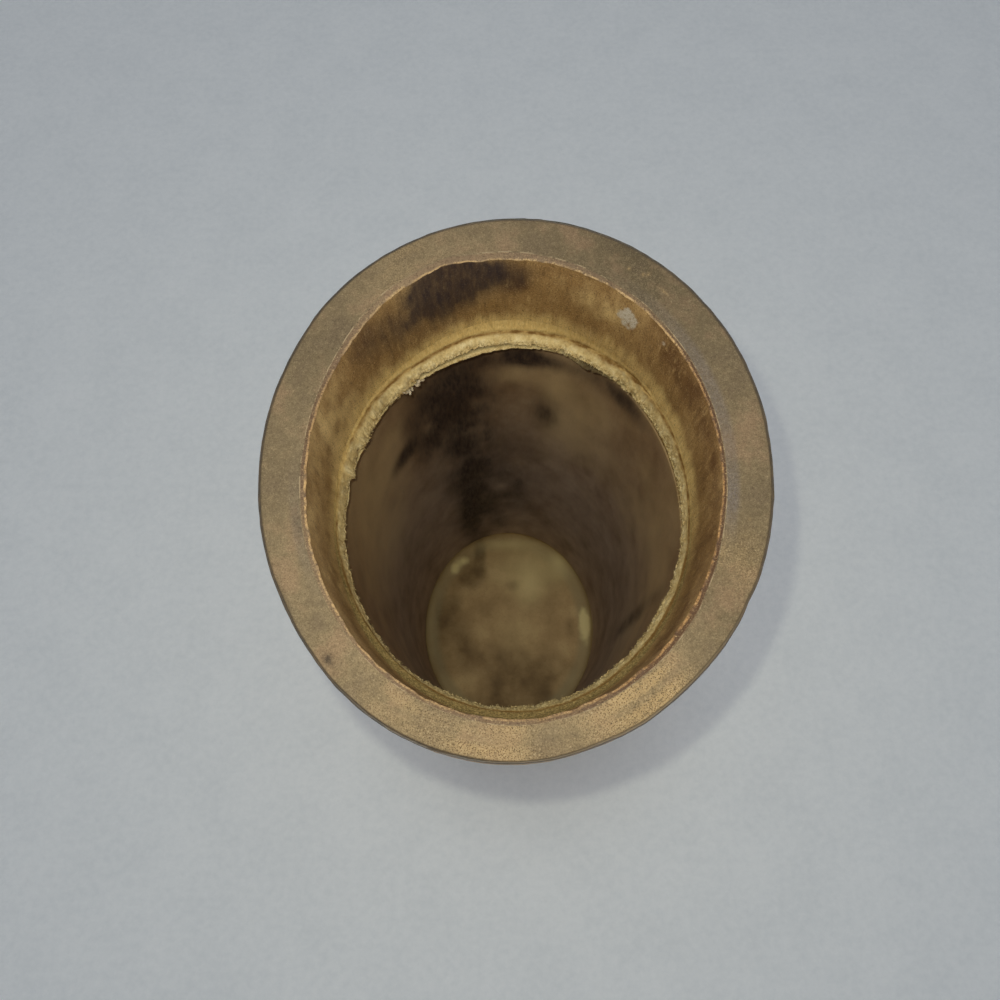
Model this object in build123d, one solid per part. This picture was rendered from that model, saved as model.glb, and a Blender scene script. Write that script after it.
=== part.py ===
from build123d import *

import os
from math import cos, exp, pi, sin

# A flower vase made from one length of old bamboo culm.
# The culm is cut a hand's breadth above one node and just below the next. The diaphragm of the lower
# node is the floor. The diaphragm of the upper node is knocked out and leaves a ragged ring.
# Millimetres, +Z up, +Y towards the back, with the origin at the middle of the foot.

# Culm, outside, at the rim
vase_height = 277.0
culm_width = 110.0
culm_depth = 123.4
culm_taper = 1.2  # how much wider the foot is than the rim, on the radius
foot_ease = 0.8  # the foot's outer edge is eased, so that skin and lining stay off the table

# Wall, from the outside of the skin to the inside of the pith lining
wall_side = 10.0  # left and right
wall_front = 7.7
wall_back = 11.1
bore_shift = -0.4  # the bore lies off the culm's middle, along X
skin_thickness = 0.6
lining_thickness = 1.4

# Nodes: the level of each diaphragm's middle
lower_node_height = 17.0  # above the foot
upper_node_drop = 33.0  # below the rim
ridge_lift = 4.0  # the swollen ridge stands this far above its diaphragm
ridge_height = 1.8
ridge_spread = 4.5
ridge_fade = 3.0  # a ridge has faded out this many spreads from its top
ridge_step = 0.33  # sections over a ridge, this many spreads apart
level_gap = 0.5  # least height between two sections of the culm
scar_drop = 5.0  # the sheath scar lies this far below its diaphragm
scar_width = 1.8
scar_reach = 1.1  # beyond the skin

# Diaphragms: two layers each, joined to the wall by a rounded root
upper_layer_thickness = 2.2
lower_layer_thickness = 2.2
root_radius = 4.0
cut_over = 1.0  # how far a hollow is cut past the end of its root

# Knocked-out hole: mean width of the stub that is left, and its ragged edge
stub_side = 1.5  # left and right, measured from the bore
stub_front = 3.6
stub_back = 4.7
lower_stub_extra = 0.5  # the lower layer reaches further into the hole
ragged_depth = 0.45  # size of each wave of the torn edge
ragged_waves = ((7, 0.4), (12, 1.9), (19, 4.1))  # waves round the hole, and their phases
ragged_points = 76

# Worked out from the sizes above
culm_radii = (culm_width / 2, culm_depth / 2)
bore_radii = (culm_radii[0] - wall_side, culm_radii[1] - (wall_front + wall_back) / 2)
bore_centre = (bore_shift, (wall_front - wall_back) / 2)
seat_radii = tuple(radius + lining_thickness for radius in bore_radii)
lower_node = lower_node_height
upper_node = vase_height - upper_node_drop
nodes = (lower_node, upper_node)
scars = tuple(node - scar_drop for node in nodes)
scar_edges = tuple(scar + side * scar_width / 2 for scar in scars for side in (-1, 1))
skin_ends = (foot_ease, *scar_edges, vase_height)
skin_stretches = tuple(zip(skin_ends[0::2], skin_ends[1::2]))  # bottom and top of each piece of skin
lower_collar = lower_layer_thickness + root_radius  # height of a diaphragm's root, below its middle
upper_collar = upper_layer_thickness + root_radius  # and above


def culm_growth(height):
    """How far the skin stands outside the rim's outline at a height: taper, eased foot and nodes' ridges."""
    growth = culm_taper * (1 - height / vase_height) - max(foot_ease - height, 0)
    for node in nodes:
        growth += ridge_height * exp(-(((height - node - ridge_lift) / ridge_spread) ** 2))
    return growth


def culm_levels():
    """Heights of the culm's sections: its ends, the edges of the scars, and steps over each ridge."""
    fixed = [0, *skin_ends]
    count = round(ridge_fade / ridge_step)
    steps = [ridge_fade * index / count for index in range(-count, count + 1)]
    ridges = [node + ridge_lift + step * ridge_spread for node in nodes for step in steps]
    inside = [level for level in ridges if 0 < level < vase_height]
    clear = [level for level in inside if min(abs(level - edge) for edge in fixed) > level_gap]
    return sorted(fixed + clear)


def culm_solid(bottom, top, depth):
    """The culm between two heights as a full solid, whose side lies at a depth under the skin's surface."""
    sections = []
    for level in culm_levels():
        if bottom <= level <= top:
            growth = culm_growth(level) - depth
            oval = Ellipse(culm_radii[0] + growth, culm_radii[1] + growth)
            sections.append(Pos(0, 0, level) * oval)
    return loft(sections, ruled=True)


def bore_prism(radii, bottom, top):
    """An upright oval block on the bore's axis."""
    outline = Pos(*bore_centre, bottom) * Ellipse(*radii)
    return extrude(outline, top - bottom)


def make_wall():
    """The woody tube, open from foot to rim."""
    return culm_solid(0, vase_height, skin_thickness) - bore_prism(seat_radii, 0, vase_height)


def make_skin(bottom, top):
    """The hard skin of one stretch between sheath scars."""
    return culm_solid(bottom, top, 0) - culm_solid(bottom, top, skin_thickness)


def make_scar(bottom, top):
    """The ring that a fallen sheath leaves round the culm, between the ends of two stretches of skin."""
    middle = (bottom + top) / 2
    rings = []
    for level, reach in ((bottom, 0), (middle, scar_reach), (top, 0)):
        growth = culm_growth(level) + reach
        rings.append(Pos(0, 0, level) * Ellipse(culm_radii[0] + growth, culm_radii[1] + growth))
    return loft(rings, ruled=True) - culm_solid(bottom, top, skin_thickness)


def make_lining(bottom, top):
    """The pith lining of one hollow."""
    return bore_prism(seat_radii, bottom, top) - bore_prism(bore_radii, bottom, top)


def make_layer(node, thickness, side):
    """Half of a diaphragm, above (side 1) or below (side -1) its middle, with its rounded root on the wall."""
    reach = thickness + root_radius
    face = node + side * thickness
    tip = node + side * reach
    block = bore_prism(seat_radii, min(node, tip), max(node, tip))
    past = tip + side * cut_over
    hollow = bore_prism(bore_radii, min(face, past), max(face, past))
    levels = hollow.edges().group_by(Axis.Z)
    face_edge = levels[0] if side > 0 else levels[-1]
    return block - fillet(face_edge, root_radius)


def torn_hole(node, extra):
    """The ragged column that is broken out of the upper diaphragm."""
    side = bore_radii[0] - stub_side - extra
    deep = bore_radii[1] - (stub_front + stub_back) / 2 - extra
    middle = (bore_centre[0], bore_centre[1] + (stub_front - stub_back) / 2)
    points = []
    for index in range(ragged_points):
        angle = 2 * pi * index / ragged_points
        torn = ragged_depth * sum(sin(waves * angle + phase + extra) for waves, phase in ragged_waves) / 2
        points.append((middle[0] + (side + torn) * cos(angle), middle[1] + (deep + torn) * sin(angle)))
    outline = make_face(Spline(*points, periodic=True))
    return Pos(0, 0, node - lower_collar) * extrude(outline, lower_collar + upper_collar)


parts = {
    "culm_wall": make_wall(),
    "foot_skin": make_skin(*skin_stretches[0]),
    "body_skin": make_skin(*skin_stretches[1]),
    "rim_skin": make_skin(*skin_stretches[2]),
    "lower_sheath_scar": make_scar(skin_stretches[0][1], skin_stretches[1][0]),
    "upper_sheath_scar": make_scar(skin_stretches[1][1], skin_stretches[2][0]),
    "foot_lining": make_lining(foot_ease, lower_node - lower_collar),
    "chamber_lining": make_lining(lower_node + upper_collar, upper_node - lower_collar),
    "rim_lining": make_lining(upper_node + upper_collar, vase_height),
    "floor_lower_layer": make_layer(lower_node, lower_layer_thickness, -1),
    "floor_upper_layer": make_layer(lower_node, upper_layer_thickness, 1),
    "broken_ring_lower_layer": make_layer(upper_node, lower_layer_thickness, -1)
    - torn_hole(upper_node, lower_stub_extra),
    "broken_ring_upper_layer": make_layer(upper_node, upper_layer_thickness, 1) - torn_hole(upper_node, 0),
}

os.makedirs("parts", exist_ok=True)
for name, shape in parts.items():
    export_step(shape, f"parts/{name}.step")
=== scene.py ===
from math import cos, pi, radians, sin

import bpy
import numpy as np
from mathutils import Matrix, Vector


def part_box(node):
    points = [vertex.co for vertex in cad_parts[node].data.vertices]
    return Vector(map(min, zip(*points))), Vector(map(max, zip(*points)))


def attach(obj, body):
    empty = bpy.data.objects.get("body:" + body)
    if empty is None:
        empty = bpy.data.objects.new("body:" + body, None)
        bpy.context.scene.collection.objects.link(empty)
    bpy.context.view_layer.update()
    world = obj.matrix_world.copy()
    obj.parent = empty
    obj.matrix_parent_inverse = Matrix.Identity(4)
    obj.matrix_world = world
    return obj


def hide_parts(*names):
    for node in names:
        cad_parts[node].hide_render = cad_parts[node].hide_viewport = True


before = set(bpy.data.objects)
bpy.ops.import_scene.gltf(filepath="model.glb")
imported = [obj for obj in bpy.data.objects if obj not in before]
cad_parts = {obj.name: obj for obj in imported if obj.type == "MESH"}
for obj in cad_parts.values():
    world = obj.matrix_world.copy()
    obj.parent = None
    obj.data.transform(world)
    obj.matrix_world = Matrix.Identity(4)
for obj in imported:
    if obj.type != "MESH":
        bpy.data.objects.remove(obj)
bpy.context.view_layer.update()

# A flower vase of old bamboo: meshes, materials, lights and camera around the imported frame.
# Shapes are worked out in millimetres, and angles run anticlockwise from +X, in degrees where named.

MM = 1000.0  # millimetres in a metre
BODY = "root"  # nothing on the vase moves
scene = bpy.context.scene
join = np.concatenate

# Grid sizes of the meshes: steps round the culm, and rows of points
WALL_STEPS = 1440
SKIN_STEPS = 720
LINING_STEPS = 1200
CHAMBER_STEPS = 800
RING_STEPS = 2000
FLOOR_STEPS = 600
RIM_ROWS = 37
LIP_ROWS = 14
CHAMBER_ROWS = 120
BODY_ROWS = 124
RING_PARTS = 3  # rows between two corners of a torn layer's section

# Layers of the culm
skin_depth = 0.45
lip_wave = 0.22  # waviness of the lining's worn lip
rim_wave = 0.1  # unevenness of the sawn rim
lining_share = 0.8  # thickness of the lining, as a share of the frame's
bevel_depth = 0.25  # wear of the rim's outer edge
bevel_reach = 1.7  # how fast that wear falls off
rim_edge_steps = (2.5, 1.9, 1.4, 1.0, 0.7, 0.45, 0.25, 0.1, 0.0)  # rows of skin just below the rim

# Uneven outlines, as bumps: size in millimetres, angle and spread in degrees
outline_swell = 0.8
outline_bumps = (
    (0.6, 30, 35), (-0.25, 95, 28), (0.25, 140, 15), (0.4, 240, 14),
    (0.3, 258, 15), (-0.6, 287, 10), (-0.6, 307, 11), (-0.25, 330, 2.2),
)
ridge_dents = ((0.85, 266, 26),)  # the upper node's ridge is lower on the near side
ridge_dent_reach = 14.0
lip_bumps = ((0.75, 110, 7), (1.0, 122, 20))  # the lip is worn back on its far left
lip_reach = 14.0  # how far down that worn hollow runs
shoulder_bumps = ((1.3, 125, 20),)  # and below it the wall leans in
shoulder_reach = 26.0
lining_bumps = ((1.1, 106, 36), (0.45, 130, 14), (0.25, 275, 14), (0.3, 322, 10), (-0.15, 300, 7))
bevel_bumps = ((0.2, 235, 22), (0.25, 210, 8), (0.4, 312, 26))

# Broken ring: width of the stub that is left, and inset and level of its root
stub_side = 1.6
stub_front = 3.6
stub_back = 4.7
stub_bumps = ((0.6, 142, 20), (1.1, 165, 17), (0.35, 185, 14), (0.7, 328, 18), (-0.4, 232, 15))
stub_edge = 0.85  # height of its torn edge above the node's middle
flare_depth = 0.3  # the wall leans in by this much just above the ring
flare_start = 20.0  # below the rim
root_width = 0.15
root_bumps = ((0.85, 95, 38), (1.75, 263, 46), (0.45, 312, 16), (0.45, 220, 16))
root_level = 2.6
root_rise = 2.0  # at the sides, the root reaches further up
crest_bumps = ((1.3, 152, 24), (1.3, 32, 24))
tooth_bumps = ((1.0, 70, 14), (0.8, 42, 14), (0.7, 152, 14), (0.4, 118, 14), (0.3, 335, 20))
ledge_bumps = ((1.5, 103, 20), (1.7, 59, 6))
# Width of the painted shade in that crease, round the ring
crease_bumps = ((2.0, 40, 34), (1.5, 182, 34), (0.8, 345, 30))
fibre_bumps = ((0.9, 70, 14), (0.6, 152, 16), (0.5, 245, 30), (0.4, 335, 20))
crumb_bumps = ((0.9, 262, 34), (0.5, 325, 25), (0.3, 110, 25), (0.3, 160, 20))

# Section of the upper layer: shares of the root's inset and rise, shares of the stub's reach and its dips
root_profile = ((0.0, 1.0), (0.25, 0.62), (0.62, 0.28), (0.92, 0.08))
stub_profile = (
    (0.0, 0.0), (0.1, 0.1), (0.2, 0.15), (0.32, 0.1), (0.46, 0.03),
    (0.6, 0.0), (0.76, 0.0), (0.9, 0.0), (1.0, 0.0),
)
edge_profile = ((0.05, 0.5), (0.35, 0.15))  # steps back under the torn edge, and their heights
upper_loose = (0.0, 0.0, 0.0, 0.0, 0.05, 0.05, 0.1, 0.2, 0.35, 0.55, 0.8, 1.0, 1.0, 1.0, 0.6)
upper_count = len(upper_loose)  # corners of that section

# Section of the lower layer: share of its reach, step back, height over the node's middle, looseness
lower_profile = (
    (0.5, 0.0, -0.35, 0.3), (0.8, 0.0, -0.42, 0.5), (1.0, 0.05, -0.55, 0.7), (1.0, 0.0, -0.75, 0.8),
    (1.0, 0.15, -1.05, 0.8), (0.8, 0.0, -1.4, 0.6), (0.55, 0.0, -1.8, 0.4), (0.3, 0.0, -2.6, 0.2),
    (0.12, 0.0, -4.0, 0.0),
)

# Floor: depth of its rounded root, and of its bow
floor_root = 4.0
floor_bow = 0.9

# Places on the sawn rim and the lip, as bumps: wear, greyness, lightness, darkness and glow of the lip
rim_wear = ((0.8, 301, 13), (0.55, 268, 13), (0.4, 338, 7), (0.3, 122, 9), (0.35, 245, 14))
rim_grey = ((0.75, 20, 26), (0.75, 352, 7), (0.35, 195, 12))
rim_tones = (
    (0.02, 262, 48), (-0.15, 0, 16), (-0.38, 52, 28), (0.08, 112, 18),
    (-0.15, 152, 14), (-0.08, 182, 14), (-0.3, 333, 14),
)
lip_tones = ((1.0, 322, 34), (0.75, 15, 28), (0.5, 170, 30), (0.4, 250, 40))
lip_glows = ((-0.35, 152, 20), (-0.4, 268, 36), (0.2, 25, 30), (0.2, 185, 14), (0.15, 330, 20))
pale_starts = ((0.8, 165, 25), (-1.5, 40, 28), (0.8, 106, 26))  # the golden band begins lower or higher

# Marks on the sawn rim: strength, angle, spread, place across from skin to lining, reach
rim_marks = (
    (0.75, 225.1, 1.1, 0.21, 0.11), (0.45, 224.6, 0.5, 0.3, 0.06), (0.3, 225.1, 3.0, 0.25, 0.25),
    (0.4, 194, 4, 0.95, 0.2), (0.3, 209, 5, 0.02, 0.12), (0.25, 60, 8, 0.05, 0.2),
)
rim_scratches = (
    (0.9, 53.6, 0.45, 0.44, 0.05), (0.9, 52.6, 0.4, 0.36, 0.06), (0.8, 46.7, 1.2, 0.46, 0.03),
    (0.7, 57.5, 0.5, 0.5, 0.05), (0.9, 347.3, 0.25, 0.46, 0.025), (0.8, 303, 5, 0.8, 0.15),
)

# Stains, tones and scuffs of the linings: strength, angle, spread, depth below the rim, reach
mouth_stains = (
    (1.4, 113, 8, 6, 13), (1.2, 105, 7, 6, 11), (0.8, 96, 7, 5, 8), (0.55, 89, 5, 9, 6),
    (0.25, 82, 7, 4, 6), (0.6, 123, 6, 10, 12), (0.5, 132, 7, 12, 9), (0.48, 142, 8, 6, 9),
)
mouth_tones = (
    (0.55, 60, 9, 12, 8), (-0.45, 62, 10, 21, 4), (-0.7, 28, 16, 5, 8), (-0.4, 0, 14, 5, 7),
    (0.3, 0, 16, 22, 4), (-0.6, 141, 10, 5, 8), (0.4, 138, 9, 20, 5), (0.5, 164, 14, 12, 14),
    (0.35, 198, 20, 9, 12), (0.45, 160, 14, 23, 5), (0.25, 200, 14, 23, 5), (-0.5, 90, 9, 11, 8),
    (0.2, 85, 9, 19, 5), (-0.35, 325, 40, 10, 12), (-0.3, 340, 16, 23, 6), (-0.25, 270, 50, 14, 14),
)
mouth_scuffs = ((1.8, 51.6, 3.4, 7.8, 3.7), (1.1, 38.3, 1.2, 4.5, 1.2), (0.8, 39.5, 0.7, 7.0, 0.8))
chamber_stains = (
    (0.62, 111, 20, 120, 130), (0.76, 126, 11, 66, 26), (0.3, 131, 10, 110, 35), (0.3, 100, 14, 215, 30),
    (1.3, 82, 16, 48, 5.5), (0.8, 74, 6, 84, 12), (1.3, 47, 13, 45, 6.5), (0.72, 142, 9, 81, 6),
    (0.85, 342, 4.5, 110, 55), (0.46, 84, 18, 160, 65),
)
band_start = 108  # angle of the long stain in the hollow
band_drift = 6
band_spread = 9
chamber_tones = (
    (0.7, 62, 20, 80, 42), (0.55, 5, 28, 80, 42), (0.6, 92, 10, 60, 8), (0.85, 166, 24, 90, 60),
    (0.55, 330, 22, 125, 40), (0.3, 215, 25, 110, 50), (-0.25, 40, 60, 215, 45),
)

# Patches of the floor: strength, place to the right and to the back of its middle, and reach both ways
floor_blotches = (
    (0.65, -21, 28, 9, 7), (0.8, -16, 41, 4, 8), (0.4, -30, 14, 5, 8), (0.5, 2, 23, 5, 4),
    (0.6, -4, -38, 5, 2.5), (0.34, -20, -20, 18, 14), (0.36, -27, -2, 9, 14), (0.58, 14, -25, 24, 16),
    (0.38, 33.5, 1, 4, 7), (0.22, 25, 13, 8, 6), (0.55, -37, 0, 5, 22), (0.6, 0, -44, 34, 9),
)
# Painted pools of light and painted highlights on the floor, in the same columns
floor_light_pools = (
    (0.3, 11, 21, 7, 9), (0.35, 14, 33, 18, 12), (0.35, 0, 46, 14, 3), (0.35, 28, 36, 5, 8),
    (0.1, 4, -3, 12, 10),
)
floor_highlights = ((1.0, 41, 2, 3.4, 11), (0.5, -30, 32, 3.5, 6), (0.42, -25, 37, 5, 3.5))

# Camera, fitted to the photograph: pixels of a 1000 pixel frame, degrees, millimetres from the rim's middle
picture_width = 1000
focal_pixels = 751.0
camera_tilt = 17.32
camera_lean = 0.46
camera_distance = 162.8
camera_right = -3.2
camera_up = -8.8
sensor_width = 36.0
clip_start = 0.005  # metres

# Light: the sky's levels and colour, and for each lamp its offset, width, level and colour
horizon_light = 1.7
zenith_light = 0.12
glow_range = (0.1, 0.55)  # from the horizon's level to the zenith's, as the height of a direction
sky_colour = (0.85, 0.9, 1.0, 1.0)
backdrop_colour = (206, 210, 212)
high_lamp = ((-60, 60, 1200), 380, 0.2, (0.95, 0.98, 1.0))
small_lamp = ((-7.6, 10.8, 1.0), 4, 0.78, (1.0, 1.0, 0.81))
table_reach = 3.0  # metres


# Sizes from the frame

def corners(node):
    """Lowest and highest corner of a CAD node, in millimetres."""
    low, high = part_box(node)
    return np.array(low) * MM, np.array(high) * MM


def span(node):
    """Lowest and highest level of a CAD node, in millimetres."""
    return [float(corner[2]) for corner in corners(node)]


def node_points(node):
    """Vertices of a CAD node, in millimetres."""
    return np.array([vertex.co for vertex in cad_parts[node].data.vertices]) * MM


def skin_outline():
    """Heights of the culm's sections, and its half width along X at each."""
    widths = {}
    for node in ("foot_skin", "body_skin", "rim_skin"):
        for point in node_points(node):
            level = round(float(point[2]), 2)
            widths[level] = max(widths.get(level, 0.0), float(point[0]))
    levels = sorted(widths)
    return np.array(levels), np.array([widths[level] for level in levels])


def lining_radii():
    """Middle of the bore, radii of the seat in the wall, and thickness of the lining."""
    low, high = corners("rim_lining")
    middle = (low[:2] + high[:2]) / 2
    seat = (high[:2] - low[:2]) / 2
    shares = np.hypot(*((node_points("rim_lining")[:, :2] - middle) / seat).T)
    return middle, seat, float(seat[0] * (1 - shares.min()))


foot_z, rim_z = span("culm_wall")
foot_skin_low, foot_skin_high = span("foot_skin")
body_skin_low, body_skin_high = span("body_skin")
rim_skin_low = span("rim_skin")[0]
ring_low = span("broken_ring_lower_layer")[0]
ring_middle, ring_high = span("broken_ring_upper_layer")
floor_low = span("floor_lower_layer")[0]
floor_middle, floor_high = span("floor_upper_layer")
foot_lining_low = span("foot_lining")[0]
outline_levels, outline_widths = skin_outline()
rim_points = node_points("rim_skin")
rim_edge = rim_points[rim_points[:, 2] > rim_z - 0.01]
rim_radii = (float(rim_edge[:, 0].max()), float(rim_edge[:, 1].max()))
bore_middle, seat_radii, lining_depth = lining_radii()
bore_radii = seat_radii - lining_depth


# Smooth random values and soft spots

def limit(values):
    """Values kept from 0 to 1."""
    return np.clip(values, 0, 1)


def limit_both(values):
    """Values kept from -1 to 1."""
    return np.clip(values, -1, 1)


def ease(share):
    """Smooth step from 0 to 1."""
    share = limit(share)
    return share * share * (3 - 2 * share)


def bell(share):
    """1 at 0, fading on both sides."""
    return np.exp(-(share ** 2))


def ripples(angle, across, cells, rows, seed):
    """Smooth random values from -1 to 1: cells repeat round the culm, rows run over across from 0 to 1."""
    table = np.random.default_rng(seed).uniform(-1, 1, (rows + 2, cells))
    turned = np.asarray(angle) / (2 * pi) * cells
    rise = limit(across) * rows
    cell = np.floor(turned).astype(int)
    row = np.floor(rise).astype(int)
    u = ease(turned - cell)
    v = ease(rise - row)
    left = cell % cells
    right = (cell + 1) % cells
    low = table[row, left] * (1 - u) + table[row, right] * u
    high = table[row + 1, left] * (1 - u) + table[row + 1, right] * u
    return low * (1 - v) + high * v


def wavy(angle, cells, seed):
    """Ripples round the culm alone."""
    return ripples(angle, 0.5, cells, 1, seed)


def rough(angle, across, cells, rows, seed, octaves=3):
    """Ripples on several scales, each half the size of the last."""
    total = 0.0
    for octave in range(octaves):
        scale = 2 ** octave
        total = total + ripples(angle, across, cells * scale, rows * scale, seed + octave) / scale
    return total


def hump(angle, middle, spread):
    """1 at an angle in degrees, fading over a spread on both sides."""
    gap = (np.degrees(angle) - middle + 180) % 360 - 180
    return bell(gap / spread)


def bumps(angle, rows):
    """Humps added up: rows of size, angle and spread."""
    return sum(size * hump(angle, middle, spread) for size, middle, spread in rows)


def spots(angle, level, rows):
    """Soft spots added up: rows of strength, angle, spread, level and reach."""
    total = 0
    for strength, middle, spread, height, reach in rows:
        total = total + strength * (hump(angle, middle, spread) * bell((level - height) / reach))
    return total


def patches(x, y, rows):
    """Soft patches added up: rows of strength, place along X and Y, and reach along both."""
    total = 0.0
    for strength, right, back, width, depth in rows:
        total = total + strength * np.exp(-(((x - right) / width) ** 2) - ((y - back) / depth) ** 2)
    return total


# Surfaces of the culm

def turn(count):
    """Angles round the culm, as one row."""
    return np.linspace(0, 2 * pi, count, endpoint=False)[None, :]


def column(values):
    """Values down a profile, as one column."""
    return np.asarray(values, float)[:, None]


def steps(first, last, count):
    """Even steps down a profile, as one column."""
    return column(np.linspace(first, last, count))


def oval(angle, middle, radii, reach, height):
    """Points on an oval that is grown by a reach, at a height."""
    x = middle[0] + (radii[0] + reach) * np.cos(angle)
    y = middle[1] + (radii[1] + reach) * np.sin(angle)
    return np.stack(np.broadcast_arrays(x, y, np.asarray(height, float)), axis=-1)


def growth(height):
    """How far the culm stands outside the rim's outline, with the frame's steps smoothed."""
    window = np.linspace(-1.5, 1.5, 7)
    sampled = [np.interp(np.asarray(height) + shift, outline_levels, outline_widths) for shift in window]
    return np.mean(sampled, axis=0) - rim_radii[0]


def sway(angle, height):
    """Natural unevenness of the culm's outside."""
    level = np.asarray(height, float)
    fine = 0.09 * ripples(angle, level / rim_z, 28, 4, 11)
    dent = bumps(angle, ridge_dents) * bell((level - ring_high) / ridge_dent_reach)
    return outline_swell + bumps(angle, outline_bumps) + fine - dent


def outside(angle, height, inset=0.0):
    """Points of the culm's outer surface, or of one that lies an inset under it."""
    reach = growth(height) + sway(angle, height) - inset
    return oval(angle, (0.0, 0.0), rim_radii, reach, height)


def below_rim(height):
    """Depth of a height below the rim."""
    return np.clip(rim_z - np.asarray(height, float), 0, None)


def bevel(angle, height):
    """How far the rim's outer edge is worn away."""
    uneven = 1 + 0.2 * rough(angle, 0.5, 60, 1, 12)
    return (bevel_depth + bumps(angle, bevel_bumps)) * uneven * np.exp(-below_rim(height) / bevel_reach)


def hollow(angle, height):
    """How far the bore lies outside its oval: worn back at the lip, leaning in below it."""
    below = below_rim(height)
    worn = bumps(angle, lip_bumps) * bell(below / lip_reach)
    lean = bumps(angle, shoulder_bumps) * ease(below / shoulder_reach)
    return worn - lean * ease((np.asarray(height) - ring_low + lip_reach) / lip_reach)


def flare(down):
    """How far the wall leans in just above the broken ring."""
    return flare_depth * ease((down - flare_start) / (rim_z - ring_high - flare_start))


def seat(angle, height):
    """Points where the woody wall meets the lining."""
    width = lining_depth * lining_share + bumps(angle, lining_bumps) + 0.1 * wavy(angle, 60, 21)
    reach = np.maximum(width + hollow(angle, height), 0.3)
    return oval(angle, bore_middle, bore_radii, reach, height)


def bore(angle, height, inset=0.0):
    """Points of the bore's surface, or of one that stands an inset into it."""
    uneven = 0.12 * np.sin(3 * angle + 1.0) + 0.1 * ripples(angle, np.asarray(height) / rim_z, 30, 8, 31)
    return oval(angle, bore_middle, bore_radii, hollow(angle, height) + uneven - inset, height)


def between(first, second, share):
    """Points between two rows of points."""
    return first + (second - first) * np.asarray(share)[..., None]


# Meshes

def grid_faces(count, around, wrap):
    """Quads of a grid of points, closed round the culm and, with wrap, round the profile."""
    last = count if wrap else count - 1
    i = np.arange(last)[:, None]
    j = np.arange(around)[None, :]
    above = (i + 1) % count
    beside = (j + 1) % around
    quads = [i * around + j, i * around + beside, above * around + beside, above * around + j]
    return np.stack(np.broadcast_arrays(*quads), axis=-1).reshape(-1, 4)


def fan_faces(first, around, pole, upward):
    """Triangles between one row of points and a pole."""
    j = np.arange(around)
    beside = (j + 1) % around
    centre = np.full(around, pole)
    order = [first + j, first + beside, centre] if upward else [centre, first + beside, first + j]
    return np.stack(order, axis=-1)


def closed_faces(count, around):
    """Faces of a grid of points that is closed by a lower and an upper pole, numbered last."""
    pole = count * around
    lower = fan_faces(0, around, pole, False)
    upper = fan_faces(pole - around, around, pole + 1, True)
    return [grid_faces(count, around, False), lower, upper]


def build_mesh(name, points, faces):
    """A smooth shaded mesh from points in millimetres and lists of faces."""
    mesh = bpy.data.meshes.new(name)
    mesh.vertices.add(len(points))
    mesh.vertices.foreach_set("co", (points / MM).astype(np.float32).ravel())
    corner_list = join([part.ravel() for part in faces])
    sizes = join([np.full(len(part), part.shape[1]) for part in faces])
    starts = join([[0], np.cumsum(sizes)[:-1]])
    mesh.loops.add(len(corner_list))
    mesh.loops.foreach_set("vertex_index", corner_list.astype(np.int32))
    mesh.polygons.add(len(sizes))
    mesh.polygons.foreach_set("loop_start", starts.astype(np.int32))
    mesh.polygons.foreach_set("use_smooth", np.ones(len(sizes), bool))
    mesh.update(calc_edges=True)
    mesh.validate()
    return mesh


def add_values(mesh, values, shape, extra):
    """Stores named values of each point, for the materials. A value that isn't stored reads as 0."""
    for name, value in values.items():
        full = np.broadcast_to(value, shape).ravel()
        full = join([full, np.full(extra, full[-1])])
        layer = mesh.attributes.new(name, "FLOAT", "POINT")
        layer.data.foreach_set("value", full.astype(np.float32))


def add_piece(mesh, material, nodes):
    """A piece that rides on the body and stands for CAD nodes."""
    piece = bpy.data.objects.new(mesh.name, mesh)
    scene.collection.objects.link(piece)
    mesh.materials.append(material)
    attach(piece, BODY)
    if nodes:
        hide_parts(*nodes)


def add_ring(name, rows, values, material, nodes):
    """A piece round the culm: rows of points go anticlockwise round its section."""
    points = join(rows)
    count, around = points.shape[:2]
    mesh = build_mesh(name, points.reshape(-1, 3), [grid_faces(count, around, True)])
    add_values(mesh, values, (count, around), 0)
    add_piece(mesh, material, nodes)


def add_disc(name, rows, poles, values, material, nodes):
    """A closed round piece: rows of points go from the lower pole to the upper one."""
    points = join(rows)
    count, around = points.shape[:2]
    flat = join([points.reshape(-1, 3), np.array(poles)])
    mesh = build_mesh(name, flat, closed_faces(count, around))
    add_values(mesh, values, (count, around), len(poles))
    add_piece(mesh, material, nodes)


def stack(*parts):
    """Values of a piece's rows, one part for each group of rows."""
    around = max(part.shape[1] for part in parts)
    return join([np.broadcast_to(part, (part.shape[0], around)) for part in parts])


# Materials

def shade(red, green, blue):
    """A screen colour, 0 to 255, in linear light."""
    screen = np.array([red, green, blue]) / 255
    linear = np.where(screen <= 0.04045, screen / 12.92, ((screen + 0.055) / 1.055) ** 2.4)
    return (*(float(value) for value in linear), 1.0)


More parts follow.
